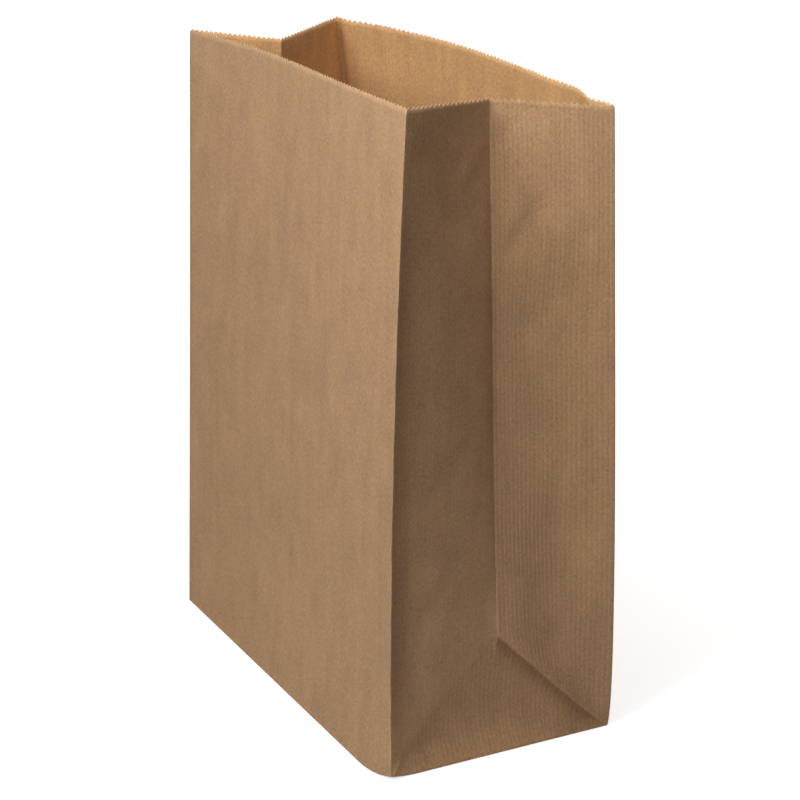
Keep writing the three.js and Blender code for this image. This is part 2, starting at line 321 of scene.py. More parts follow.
# Soft dents: the half of a side, the ends of the dent's line (from the standing crease,
# up the paper), its width and its depth.
dents = [
    {"half": (1, 1), "ends": ((53, 262), (41, 272)), "width": 3.2, "depth": 0.7},
    {"half": (1, 1), "ends": ((47, 217), (33, 236)), "width": 3.6, "depth": 0.9},
    {"half": (1, 1), "ends": ((17, 221), (6, 230)), "width": 3.4, "depth": 0.5},
    {"half": (1, 1), "ends": ((26, 196), (12, 210)), "width": 4.5, "depth": 0.4},
    {"half": (1, 1), "ends": ((44, 182), (30, 190)), "width": 4.0, "depth": 0.4},
    {"half": (1, -1), "ends": ((36, 248), (50, 262)), "width": 3.6, "depth": -0.4},
    {"half": (1, -1), "ends": ((9, 277), (7, 268)), "width": 5.0, "depth": -0.6},
    {"half": (1, -1), "ends": ((26, 262), (34, 235)), "width": 10.0, "depth": 0.8},
    {"half": (1, 1), "ends": ((24, 52), (24, 95)), "width": 13.0, "depth": 2.2},
    {"half": (1, -1), "ends": ((20, 120), (40, 138)), "width": 5.0, "depth": 0.4},
    {"half": (1, -1), "ends": ((30, 86), (18, 66)), "width": 4.5, "depth": 0.5},
    {"half": (1, -1), "ends": ((12, 30), (12, 90)), "width": 9.0, "depth": 1.4},
    {"half": (1, -1), "ends": ((1, 2), (6.5, 5.5)), "width": 1.6, "depth": -0.8},
    {"half": (-1, -1), "ends": ((14, 190), (34, 216)), "width": 4.0, "depth": 0.6},
    {"half": (-1, 1), "ends": ((20, 230), (40, 250)), "width": 4.0, "depth": 0.5},
]


# Painted shade that stands in for the soft shadow beside the folds: its strength and width.
paintedShades = {
    "diagonal": {"strength": 1.1, "width": 6.0},
    "middle": {"strength": 0.12, "width": 4.2},
    "crease": {"strength": 0.8, "width": 9.0},
    "seam": {"strength": 0.55, "width": 1.5},
}


# painted shade at each point of the sheet, standing in for the soft shadow beside the folds
def paintedShadeMap(sheet):
    u, h, strip = sheet["u"], sheet["h"], sheet["strip"]
    shade = np.zeros(len(u))
    # painted shadow under the right diagonal of the right side's base triangle
    far = strip == 2
    fromCrease = halfSide - u
    below = (fromCrease - h) / math.sqrt(2)
    mark = np.exp(-(below / paintedShades["diagonal"]["width"]) ** 2) * (below > 0.05)
    mark *= smooth(h, 1, 8) * paintedShades["diagonal"]["strength"]
    shade[far] += mark[far]
    # painted shade beside the middle fold
    near = strip == 1
    toMiddle = halfSide - u
    mark = np.exp(-(toMiddle / paintedShades["middle"]["width"]) ** 2) * paintedShades["middle"]["strength"]
    mark *= smooth(h, 60, 80) * (1 - smooth(h, 170, 250)) * smooth(u, halfSide - 12, halfSide - 6)
    # and painted shade along the near standing crease, lower down
    beside = np.exp(-(u / paintedShades["crease"]["width"]) ** 2) * paintedShades["crease"]["strength"]
    mark += beside * smooth(h, 0, 50) * (1 - smooth(h, 200, 262))
    shade[near] += mark[near]
    return shade


# How clearly the ribs show on each strip, and on the right side's base triangle.
ribShow = {
    "front": 0.6, "rightNear": 0.4, "rightFar": 1.3, "back": 0.9, "leftFar": 0.9,
    "leftNear": 0.9, "triangle": 1.35,
}


def ribStrength(sheet):
    names = [s["name"] for s in sheet["strips"]]
    strength = np.array([ribShow[name] for name in names])[sheet["strip"]]
    near = sheet["strip"] == 1
    onTriangle = smooth(sheet["u"] - sheet["h"], -3, 3)
    return np.where(near, mix(strength, ribShow["triangle"], onTriangle), strength)


def dentDepth(dent, u, h):
    (u0, h0), (u1, h1) = dent["ends"]
    alongU, alongH = u1 - u0, h1 - h0
    length = math.hypot(alongU, alongH)
    t = ((u - u0) * alongU + (h - h0) * alongH) / length ** 2
    inside = np.clip(t, 0.0, 1.0)
    gap = np.hypot(u - u0 - inside * alongU, h - h0 - inside * alongH)
    return -dent["depth"] * np.exp(-(gap / dent["width"]) ** 2)


def slackOf(crease, u, h):
    slack = slacks[crease["side"]]
    toMiddle = halfSide - u
    above = h - u
    hold = smooth(h, slack["from"] - 30, slack["from"] + 15)
    hold = hold * (1 - smooth(h, slack["to"] - 25, slack["to"] + 25))
    span = np.clip(np.minimum(h, halfSide), 1e-6, None)
    arch = np.sin(math.pi * np.clip(u / span, 0, 1))
    out = slack["wall"] * arch * hold
    tucked = smooth(h, 62, 85) * (1 - smooth(h, 190, 250))
    out += slack["pinch"] * (1 - np.exp(-toMiddle / pinchReach)) * smooth(u, 0, 25) * tucked
    # the diagonal fold
    high, low = slack["reach"]
    fade = np.where(
        above > 0,
        np.exp(-np.maximum(above, 0) / high),
        np.exp(np.minimum(above, 0) / low) * np.minimum(1.0, h / 10.0),
    )
    out += slack["ridge"] * np.sin(math.pi * u / halfSide) * fade
    # the base triangle below it
    down = np.maximum(-above, 0.0)
    far = np.maximum(2 * halfSide - u - h, 0.0)
    share = 27 * (down / (2 * halfSide)) * (far / (2 * halfSide)) * (h / halfSide)
    out -= dish["depth"] * np.maximum(share, 0.0) ** dish["power"]
    for dent in dents:
        if dent["half"] == crease["side"]:
            out += dentDepth(dent, u, h) * smooth(u, 0, 4) * smooth(toMiddle, 0, 4)
    return out


# The six strips of the tube in order round the bag, starting at the front left crease.
pinking = {
    "pitch": 2.85,  # one tooth
    "depth": 1.3,
    "creaseColumn": 0.4,  # extra columns this close to each crease keep the folds tight
    # how deep the teeth are at the start and end of each strip, against the depth above
    "size": {
        "front": (0.95, 0.85), "rightNear": (0.9, 1.15), "rightFar": (1.75, 0.85),
        "back": (0.9, 0.8), "leftFar": (0.8, 0.8), "leftNear": (0.8, 0.9),
    },
    "curl": {
        "front": (0.1, 0.1), "rightNear": (0.4, 1.2), "rightFar": (3.6, 0.3),
        "back": (0.1, 0.1), "leftFar": (0.1, 0.1), "leftNear": (0.1, 0.1),
    },
}
seam = {
    "inset": 3.0,  # from the back left crease to the inner edge of the lap
    "lap": 28.0,
    "step": 0.15,  # width in which a cut edge steps down
    "relax": 14.0,
}


def stripTable():
    c, m = creases, middles
    wide, half = bag["panelWidth"], halfSide
    return [
        {"name": "front", "width": wide, "diagonal": None,
         "at": lambda u, h: panelSurface(c["frontLeft"], c["frontRight"], bows["front"], u, h)},
        {"name": "rightNear", "width": half, "diagonal": lambda u: u,
         "at": lambda u, h: gussetSurface(c["frontRight"], m["right"], u, h)},
        {"name": "rightFar", "width": half, "diagonal": lambda u: half - u,
         "at": lambda u, h: gussetSurface(c["backRight"], m["right"], half - u, h)},
        {"name": "back", "width": wide, "diagonal": None,
         "at": lambda u, h: panelSurface(c["backRight"], c["backLeft"], bows["back"], u, h)},
        {"name": "leftFar", "width": half, "diagonal": lambda u: u,
         "at": lambda u, h: gussetSurface(c["backLeft"], m["left"], u, h)},
        {"name": "leftNear", "width": half, "diagonal": lambda u: half - u,
         "at": lambda u, h: gussetSurface(c["frontLeft"], m["left"], half - u, h)},
    ]


rowPlan = {
    "foot": [0.0, 0.4, 1.2, 3.0, 6.0],  # heights near the base fold
    "step": 3.4,
    "rim": [7.0, 4.6, 3.0, 0.0],  # distances below the tips
}


def wallHeights():
    top = bag["height"]
    low, high = rowPlan["foot"][-1], top - rowPlan["rim"][0]
    count = round((high - low) / rowPlan["step"])
    between = [mix(low, high, i / count) for i in range(1, count)]
    return np.array(rowPlan["foot"] + between + [top - d for d in rowPlan["rim"]])


def stripColumns(strip):
    # half a tooth apart, with extra columns beside the creases and at the lap's cut edges
    teeth = round(strip["width"] / pinking["pitch"])
    columns = [strip["width"] * k / (2 * teeth) for k in range(2 * teeth + 1)]
    near = pinking["creaseColumn"]
    extra = [near, strip["width"] - near]
    if strip["name"] == "back":
        start = strip["width"] - seam["inset"]
        end = start - seam["lap"]
        extra += [start, start - seam["step"], end, end - seam["step"]]
    kept = [
        (u, k % 2) for k, u in enumerate(columns)
        if k in (0, 2 * teeth) or all(abs(u - e) > 0.2 for e in extra)
    ]
    fill = [(u, None) for u in extra]
    ordered = sorted(kept + fill, key=lambda pair: pair[0])
    us = np.array([u for u, _ in ordered])
    pitch = strip["width"] / teeth
    phase = (us % pitch) / pitch
    tooth = 1.0 - np.abs(2.0 * phase - 1.0)  # 0 in a valley, 1 at a tip
    number = np.floor(us / pitch).astype(int)
    return us, tooth, number


def foldedSheet():
    heights = wallHeights()
    share = heights / bag["height"]
    places, us, hs, teeth, numbers, stripIds = [], [], [], [], [], []
    ring = []  # strip and vertex ids of each column, from the foot up
    total, start = 0, 0.0
    strips = stripTable()
    for index, strip in enumerate(strips):
        columns, tooth, number = stripColumns(strip)
        strip["start"] = start
        diagonal = strip["diagonal"] or (lambda u: 0.0)
        steps = np.array([diagonal(u) for u in columns])
        colU, colH = [], []
        for k, u in enumerate(columns[:-1]):
            base = steps[k]
            lower = np.sort(steps[steps < base - 1e-6]) if strip["diagonal"] else np.array([])
            column = np.concatenate([lower, base + (bag["height"] - base) * share])
            ring.append((index, np.arange(total, total + len(column))))
            total += len(column)
            colU.append(np.full(len(column), u))
            colH.append(column)
            teeth.append(np.full(len(column), tooth[k]))
            numbers.append(np.full(len(column), number[k] + 100 * index))
            stripIds.append(np.full(len(column), index))
        colU, colH = np.concatenate(colU), np.concatenate(colH)
        places.append(strip["at"](colU, colH))
        us.append(colU)
        hs.append(colH)
        start += strip["width"]
    faces, faceStrip = [], []
    for i, (index, a) in enumerate(ring):
        b = ring[(i + 1) % len(ring)][1]
        rows = min(len(a), len(b)) - 1
        topA, topB = len(a) - 1, len(b) - 1
        for j in range(rows):
            faces.append((a[topA - j - 1], b[topB - j - 1], b[topB - j], a[topA - j]))
            faceStrip.append(index)
        if topA > rows:
            faces.append((a[topA - rows - 1], b[topB - rows], a[topA - rows]))
            faceStrip.append(index)
        if topB > rows:
            faces.append((a[topA - rows], b[topB - rows - 1], b[topB - rows]))
            faceStrip.append(index)
    return {
        "places": np.concatenate(places), "u": np.concatenate(us), "h": np.concatenate(hs),
        "tooth": np.concatenate(teeth), "number": np.concatenate(numbers),
        "strip": np.concatenate(stripIds), "faces": faces, "faceStrip": faceStrip,
        "rim": np.array([ids[-1] for _, ids in ring]),
        "foot": np.array([ids[0] for _, ids in ring]),
        "strips": strips,
    }


sheet = foldedSheet()
print("sheet folded:", len(sheet["places"]), "points,", len(sheet["faces"]), "faces")


def addAttribute(mesh, name, kind, values):
    attribute = mesh.attributes.new(name, kind, "POINT")
    field = "vector" if kind == "FLOAT_VECTOR" else "value"
    attribute.data.foreach_set(field, np.asarray(values).ravel())


def sheetMesh(sheet):
    # the middle surface, with what the geometry nodes read at each point
    mesh = bpy.data.meshes.new("sheet")
    mesh.from_pydata((sheet["places"] * mm).tolist(), [], sheet["faces"])
    onRim = np.zeros(len(sheet["places"]))
    onRim[sheet["rim"]] = 1.0
    up = np.zeros((len(sheet["places"]), 3))
    rise = sheet["places"][sheet["rim"]] - sheet["places"][sheet["rim"] - 1]
    up[sheet["rim"]] = rise / np.linalg.norm(rise, axis=1)[:, None]
    share = sheet["u"] / np.array([s["width"] for s in sheet["strips"]])[sheet["strip"]]

    def alongStrips(table):
        ends = np.array([table[s["name"]] for s in sheet["strips"]])[sheet["strip"]]
        return mix(ends[:, 0], ends[:, 1], share ** 0.8)

    addAttribute(mesh, "toothSize", "FLOAT", alongStrips(pinking["size"]))
    addAttribute(mesh, "toothCurl", "FLOAT", alongStrips(pinking["curl"]))
    width = np.array([s["width"] for s in sheet["strips"]])[sheet["strip"]]
    fromCrease = np.minimum(sheet["u"], width - sheet["u"])
    slack = smooth(fromCrease, 1.0, 18.0) * smooth(sheet["h"], 2.0, 30.0)
    addAttribute(mesh, "onRim", "FLOAT", onRim)
    addAttribute(mesh, "tooth", "FLOAT", sheet["tooth"])
    addAttribute(mesh, "toothNumber", "INT", sheet["number"].astype(np.int32))
    addAttribute(mesh, "rimUp", "FLOAT_VECTOR", up)
    addAttribute(mesh, "slack", "FLOAT", slack)
    return mesh


finishing = {
    "Tooth depth": pinking["depth"] * mm,
    "Tooth curl": 0.35 * mm,
    "Ripple height": 0.5 * mm,
    "Ripple size": 45.0 * mm,
    "Seed": 7,
}


def finishingTree():
    # pinks the mouth into teeth, each a little different, and ripples the walls
    tree = bpy.data.node_groups.new("pinkAndRipple", "GeometryNodeTree")
    face = tree.interface
    face.new_socket("Geometry", in_out="INPUT", socket_type="NodeSocketGeometry")
    face.new_socket("Geometry", in_out="OUTPUT", socket_type="NodeSocketGeometry")
    for name in ("Tooth depth", "Tooth curl", "Ripple height", "Ripple size"):
        face.new_socket(name, in_out="INPUT", socket_type="NodeSocketFloat")
    face.new_socket("Seed", in_out="INPUT", socket_type="NodeSocketInt")
    face.new_socket("Paper", in_out="INPUT", socket_type="NodeSocketMaterial")
    nodes, links = tree.nodes, tree.links
    given = nodes.new("NodeGroupInput")
    result = nodes.new("NodeGroupOutput")

    def named(name, kind):
        node = nodes.new("GeometryNodeInputNamedAttribute")
        node.data_type = kind
        node.inputs["Name"].default_value = name
        return node.outputs["Attribute"]

    def maths(operation, a, b):
        node = nodes.new("ShaderNodeMath")
        node.operation = operation
        for socket, value in zip(node.inputs, (a, b)):
            if isinstance(value, (int, float)):
                socket.default_value = value
            else:
                links.new(value, socket)
        return node.outputs[0]

    def scaled(vector, factor):
        node = nodes.new("ShaderNodeVectorMath")
        node.operation = "SCALE"
        links.new(vector, node.inputs[0])
        links.new(factor, node.inputs["Scale"])
        return node.outputs[0]

    def joined(a, b):
        node = nodes.new("ShaderNodeVectorMath")
        node.operation = "ADD"
        links.new(a, node.inputs[0])
        links.new(b, node.inputs[1])
        return node.outputs[0]

    normal = nodes.new("GeometryNodeInputNormal").outputs[0]
    position = nodes.new("GeometryNodeInputPosition").outputs[0]

    # ripples
    noise = nodes.new("ShaderNodeTexNoise")
    noise.noise_dimensions = "4D"
    noise.inputs["Detail"].default_value = 2.0
    stretch = nodes.new("ShaderNodeVectorMath")
    stretch.operation = "MULTIPLY"
    stretch.inputs[1].default_value = (1.0, 1.0, 0.45)
    links.new(position, stretch.inputs[0])
    links.new(stretch.outputs[0], noise.inputs["Vector"])
    links.new(maths("DIVIDE", 1.0, given.outputs["Ripple size"]), noise.inputs["Scale"])
    links.new(given.outputs["Seed"], noise.inputs["W"])
    height = maths("MULTIPLY", maths("SUBTRACT", noise.outputs[0], 0.5), 2.0)
    height = maths("MULTIPLY", height, given.outputs["Ripple height"])
    height = maths("MULTIPLY", height, named("slack", "FLOAT"))
    ripple = nodes.new("GeometryNodeSetPosition")
    links.new(given.outputs["Geometry"], ripple.inputs["Geometry"])
    links.new(scaled(normal, height), ripple.inputs["Offset"])

    # teeth
    chance = nodes.new("FunctionNodeRandomValue")
    chance.data_type = "FLOAT"
    chance.inputs[2].default_value = 0.72
    chance.inputs[3].default_value = 1.2
    links.new(named("toothNumber", "INT"), chance.inputs["ID"])
    links.new(given.outputs["Seed"], chance.inputs["Seed"])
    tooth = named("tooth", "FLOAT")
    onRim = named("onRim", "FLOAT")
    cut = maths("MULTIPLY", maths("SUBTRACT", tooth, 1.0), given.outputs["Tooth depth"])
    cut = maths("MULTIPLY", maths("MULTIPLY", cut, chance.outputs[1]), onRim)
    cut = maths("MULTIPLY", cut, named("toothSize", "FLOAT"))
    curl = maths("MULTIPLY", maths("MULTIPLY", tooth, given.outputs["Tooth curl"]), onRim)
    curl = maths("MULTIPLY", curl, named("toothCurl", "FLOAT"))
    curl = maths("MULTIPLY", curl, chance.outputs[1])
    teeth = nodes.new("GeometryNodeSetPosition")
    links.new(ripple.outputs[0], teeth.inputs["Geometry"])
    offset = joined(scaled(named("rimUp", "FLOAT_VECTOR"), cut), scaled(normal, curl))
    links.new(offset, teeth.inputs["Offset"])

    realize = nodes.new("GeometryNodeRealizeInstances")
    dress = nodes.new("GeometryNodeSetMaterial")
    links.new(teeth.outputs[0], realize.inputs[0])
    links.new(realize.outputs[0], dress.inputs["Geometry"])
    links.new(given.outputs["Paper"], dress.inputs["Material"])
    links.new(dress.outputs[0], result.inputs[0])
    return tree


def throughNodes(mesh, tree, values):
    # runs a mesh through a geometry node tree and gives back the plain result
    carrier = bpy.data.objects.new("carrier", mesh)
    bpy.context.scene.collection.objects.link(carrier)
    modifier = carrier.modifiers.new("finish", "NODES")
    modifier.node_group = tree
    for item in tree.interface.items_tree:
        if item.in_out == "INPUT" and item.name in values:
            modifier[item.identifier] = values[item.name]
    graph = bpy.context.evaluated_depsgraph_get()
    plain = bpy.data.meshes.new_from_object(carrier.evaluated_get(graph))
    carrier.modifiers.clear()
    bpy.data.objects.remove(carrier)
    return plain


# Paper finishes. All patterns lie on the flat sheet, through its UV map in metres.
kraft = {
    "outside": ((0.466, 0.282, 0.154), (0.477, 0.290, 0.152)),  # two shades that drift
    "sideTint": (0.985, 0.955, 0.930),  # stands in for the warm light between the folded sides
    "paintedShadeTint": (0.60, 0.55, 0.51),  # full strength of the painted shade
    # the inside shades are set warmer and paler than the outside to stand in for light shining
    # through the paper and bouncing between the walls: painted light
    "inside": ((0.60, 0.350, 0.158), (0.64, 0.374, 0.164)),
    "cut": (0.60, 0.43, 0.27),
    "worn": (0.70, 0.52, 0.34),
    "edgeFalloff": 14.0,  # higher is a thinner pale line at the cut edge
    "ribPitch": 2.1,  # millimetres
    "ribDepth": 0.026,
    "fineRibDepth": 0.008,
}


# Mottling of the paper: fineness across and along it, per millimetre, then detail, strength
# and a shift that keeps the patterns apart.
mottling = {
    "wander": (0.25, 0.02, 2.0, 0.9),
    "patchy": (0.22, 0.015, 2.0, 2.4, 5.0),
    "cloud": (0.10, 0.06, 4.0, 0.30, 11.0),
    "streak": (0.14, 0.014, 3.0, 0.22, 23.0),
    "felt": (0.8, 0.6, 5.0, 0.46, 31.0),
    "grain": (2.6, 0.9, 2.0, 1.0, 47.0),
    "drift": (0.11, 0.06, 3.0, 3.0, 61.0),
    "rubbed": (0.5, 0.12, 3.0, 2.4, 71.0),
    "rough": (0.3, 0.2, 3.0, 0.35, 83.0),
    "cockle": (0.09, 0.06, 2.0, 0.22, 97.0),
    "tooth": (0.9, 0.5, 4.0, 0.035, 103.0),
}

# Specks: cells across and along, per millimetre, then size, strength and shift.
flecks = {
    "dark": (0.26, 0.2, 0.075, -0.7, 3.0),
    "light": (0.5, 0.3, 0.16, 0.35, 9.0),
}


class Graph:
    # small helper that lays out the nodes of one material
    def __init__(self, material):
        material.use_nodes = True
        self.nodes = material.node_tree.nodes
        self.links = material.node_tree.links
        self.shader = self.nodes["Principled BSDF"]

    def put(self, value, socket):
        if hasattr(value, "links"):
            self.links.new(value, socket)
        else:
            socket.default_value = value

    def maths(self, operation, *values, clamp=False):
        node = self.nodes.new("ShaderNodeMath")
        node.operation = operation
        node.use_clamp = clamp
        for value, socket in zip(values, node.inputs):
            self.put(value, socket)
        return node.outputs[0]

    def total(self, *values):
        result = values[0]
        for value in values[1:]:
            result = self.maths("ADD", result, value)
        return result

    def attribute(self, name):
        node = self.nodes.new("ShaderNodeAttribute")
        node.attribute_name = name
        return node.outputs["Fac"]

    def stretched(self, vector, across, along, shift=0.0):
        node = self.nodes.new("ShaderNodeMapping")
        node.inputs["Scale"].default_value = (across, along, 1.0)
        node.inputs["Location"].default_value = (shift, shift * 0.7, shift * 0.3)
        self.links.new(vector, node.inputs["Vector"])
        return node.outputs[0]

    def noise(self, vector, across, along, detail, strength, shift=0.0):
        # noise with its mean taken off: sizes are per millimetre across and along the paper
        node = self.nodes.new("ShaderNodeTexNoise")
        node.inputs["Scale"].default_value = 1.0
        node.inputs["Detail"].default_value = detail
        self.links.new(self.stretched(vector, across, along, shift), node.inputs["Vector"])
        centred = self.maths("SUBTRACT", node.outputs[0], 0.5)
        return self.maths("MULTIPLY", centred, strength)

    def specks(self, vector, across, along, size, strength, shift=0.0):
        # scattered spots: size is their radius as a share of a cell
        node = self.nodes.new("ShaderNodeTexVoronoi")
        node.inputs["Scale"].default_value = 1.0
        self.links.new(self.stretched(vector, across, along, shift), node.inputs["Vector"])
        near = self.maths("SUBTRACT", 1.0, self.maths("DIVIDE", node.outputs["Distance"], size))
        return self.maths("MULTIPLY", self.maths("MAXIMUM", near, 0.0), strength)

    def blend(self, share, first, second):
        node = self.nodes.new("ShaderNodeMix")
        node.data_type = "RGBA"
        colors = [i for i in node.inputs if i.type == "RGBA"]
        self.put(share, node.inputs[0])
        for value, socket in zip((first, second), colors):
            self.put(value if hasattr(value, "links") else (*value, 1.0), socket)
        return [o for o in node.outputs if o.type == "RGBA"][0]

    def tinted(self, color, tint):
        node = self.nodes.new("ShaderNodeVectorMath")
        node.operation = "MULTIPLY"
        self.links.new(color, node.inputs[0])
        self.links.new(tint, node.inputs[1])
        return node.outputs[0]

    def scaled(self, color, factor):
        node = self.nodes.new("ShaderNodeVectorMath")
        node.operation = "SCALE"
        self.links.new(color, node.inputs[0])
        self.links.new(factor, node.inputs["Scale"])
        return node.outputs[0]


def paperMaterial(name, shades, ribs, wear, paleEdge):
    material = bpy.data.materials.new(name)
    graph = Graph(material)
    source = graph.nodes.new("ShaderNodeUVMap")
    source.uv_map = "paper"
    sheetPlace = graph.stretched(source.outputs[0], 1000.0, 1000.0)  # now in millimetres
    parts = graph.nodes.new("ShaderNodeSeparateXYZ")
    graph.links.new(sheetPlace, parts.inputs[0])
    # ribs along the paper, slightly wandering and not equally strong everywhere
    wander = graph.noise(sheetPlace, *mottling["wander"])
    across = graph.maths("ADD", parts.outputs[0], wander)
    turn = 2 * math.pi / kraft["ribPitch"]
    coarse = graph.maths("SINE", graph.maths("MULTIPLY", across, turn))
    fine = graph.maths("SINE", graph.maths("MULTIPLY", across, 2 * turn))
    patchy = graph.maths("ADD", graph.noise(sheetPlace, *mottling["patchy"]), 0.95, clamp=True)
    ribShare = graph.maths("MULTIPLY", patchy, graph.attribute("rib"))
    coarse = graph.maths("MULTIPLY", coarse, ribShare)
    # colour
    cloud = graph.noise(sheetPlace, *mottling["cloud"])
    streak = graph.noise(sheetPlace, *mottling["streak"])
    felt = graph.noise(sheetPlace, *mottling["felt"])
    grain = graph.noise(sheetPlace, *mottling["grain"])
    darkSpecks = graph.specks(sheetPlace, *flecks["dark"])
    lightSpecks = graph.specks(sheetPlace, *flecks["light"])
    lines = graph.maths("MULTIPLY", coarse, 0.05 * ribs)
    fineLines = graph.maths("MULTIPLY", fine, 0.015 * ribs)
    tone = graph.total(cloud, streak, felt, grain, darkSpecks, lightSpecks, lines, fineLines, 1.0)
    drift = graph.maths("ADD", graph.noise(sheetPlace, *mottling["drift"]), 0.5, clamp=True)
    color = graph.scaled(graph.blend(drift, *shades), tone)
    plain = (1.0, 1.0, 1.0)
    # painted warm light on the folded sides, standing in for light bounced between them
    color = graph.tinted(color, graph.blend(graph.attribute("side"), plain, kraft["sideTint"]))
    # painted shade beside the folds, standing in for their soft shadow
    color = graph.tinted(color, graph.blend(graph.attribute("paintedShade"), plain, kraft["paintedShadeTint"]))
    # paler where the paper is folded and at its cut edge
    rubbed = graph.maths("ADD", graph.noise(sheetPlace, *mottling["rubbed"]), 0.5, clamp=True)
    fold = graph.maths("MULTIPLY", graph.attribute("fold"), graph.maths("MULTIPLY", rubbed, wear))
    color = graph.blend(fold, color, kraft["worn"])
    thinEdge = graph.maths("POWER", graph.attribute("cutEdge"), kraft["edgeFalloff"])
    rimShare = graph.maths("MULTIPLY", thinEdge, paleEdge)
    color = graph.blend(rimShare, color, kraft["cut"])
    graph.links.new(color, graph.shader.inputs["Base Color"])
    rough = graph.maths("ADD", graph.noise(sheetPlace, *mottling["rough"]), 0.8, clamp=True)
    graph.links.new(rough, graph.shader.inputs["Roughness"])
    graph.shader.inputs["Specular IOR Level"].default_value = 0.3
    # relief, in millimetres
    relief = graph.total(
        graph.maths("MULTIPLY", coarse, kraft["ribDepth"] * ribs),
        graph.maths("MULTIPLY", fine, kraft["fineRibDepth"] * ribs),
        graph.noise(sheetPlace, *mottling["cockle"]),
        graph.noise(sheetPlace, *mottling["tooth"]),
    )
    bump = graph.nodes.new("ShaderNodeBump")
    bump.inputs["Distance"].default_value = mm
    graph.links.new(relief, bump.inputs["Height"])
    graph.links.new(bump.outputs[0], graph.shader.inputs["Normal"])
    return material


def cutMaterial():
    material = bpy.data.materials.new("kraftCutEdge")
    graph = Graph(material)
    source = graph.nodes.new("ShaderNodeUVMap")
    source.uv_map = "paper"
    sheetPlace = graph.stretched(source.outputs[0], 1000.0, 1000.0)
    tone = graph.maths("ADD", graph.noise(sheetPlace, 2.0, 2.0, 3.0, 0.5), 1.0)
    color = graph.scaled(graph.blend(0.2, kraft["cut"], kraft["worn"]), tone)
    graph.links.new(color, graph.shader.inputs["Base Color"])
    graph.shader.inputs["Roughness"].default_value = 0.9
    return material


outsidePaper = paperMaterial("kraftOutside", kraft["outside"], 1.0, 0.9, 0.8)
insidePaper = paperMaterial("kraftInside", kraft["inside"], 0.5, 0.3, 0.25)
cutPaper = cutMaterial()
print("paper finishes ready")


def offsetDirections(points, faces):
    # mean face normal at each point, lengthened so that a fold keeps its thickness
    triangles = []
    for f in faces:
        triangles.append((f[0], f[1], f[2]))
        if len(f) == 4:
            triangles.append((f[0], f[2], f[3]))
    tri = np.array(triangles)
    a, b, c = points[tri[:, 0]], points[tri[:, 1]], points[tri[:, 2]]
    normal = np.cross(b - a, c - a)
    normal /= np.maximum(np.linalg.norm(normal, axis=1), 1e-12)[:, None]
    mean = np.zeros_like(points)
    weight = np.zeros(len(points))
    angles = []
    for k in range(3):
        here, one, two = points[tri[:, k]], points[tri[:, (k + 1) % 3]], points[tri[:, (k + 2) % 3]]
        e, g = one - here, two - here
        cosine = (e * g).sum(1) / (np.linalg.norm(e, axis=1) * np.linalg.norm(g, axis=1))
        angle = np.arccos(np.clip(cosine, -1, 1))
        angles.append(angle)
        np.add.at(mean, tri[:, k], normal * angle[:, None])
        np.add.at(weight, tri[:, k], angle)
    mean /= np.maximum(np.linalg.norm(mean, axis=1), 1e-12)[:, None]
    spread = np.zeros(len(points))
    for k in range(3):
        dot = (normal * mean[tri[:, k]]).sum(1)
        np.add.at(spread, tri[:, k], dot * angles[k])
    spread /= weight
    return mean / np.maximum(spread, 0.2)[:, None]


def seamOffsets(sheet):
    # outer and inner offsets of every point, in paper thicknesses from the middle surface
    outer = np.full(len(sheet["u"]), 0.5)
    inner = np.full(len(sheet["u"]), 0.5)
    back = sheet["strip"] == 3
    start = bag["panelWidth"] - seam["inset"]
    end = start - seam["lap"]
    u = sheet["u"]
    lap = back & (u < start - 1e-6) & (u > end - 1e-6)
    past = back & (u < end - 1e-6)
    sunk = smooth(u, end - seam["step"] - seam["relax"], end - seam["step"])
    inner[lap] += 1.0
    outer[past] -= sunk[past]
    inner[past] += sunk[past]
    return outer, inner


# The near corner of the base is bruised and stands a little off the floor.
cornerLift = {"at": (102.5, -50.1), "height": 1.3, "reach": 13.0, "fade": 5.0}


# The two flaps folded over the base: the outer one lies on the floor. Corners from above,
# then the free edge, which is pinked. Heights are in plies.
baseFlaps = [
    {"corners": [(-102.3, -54.8), (84, -54.8), (90, -53.5), (96, -52.2), (94, -46.5)],
     "free": ((37.5, 10), (-37.5, 10)), "inward": -1, "plies": (0.0, 0.95)},
    {"corners": [(102.3, 54.8), (-102.3, 54.8)],
     "free": ((-37.5, -10), (37.5, -10)), "inward": 1, "plies": (1.0, 1.95)},
]


def flapOutline(flap):
    (x0, y0), (x1, _) = flap["free"]
    half = 2 * round(abs(x1 - x0) / pinking["pitch"])
    step = flap["inward"] * pinking["depth"]
    edge = [(mix(x0, x1, k / half), y0 + step * (k % 2)) for k in range(half + 1)]
    return flap["corners"] + edge


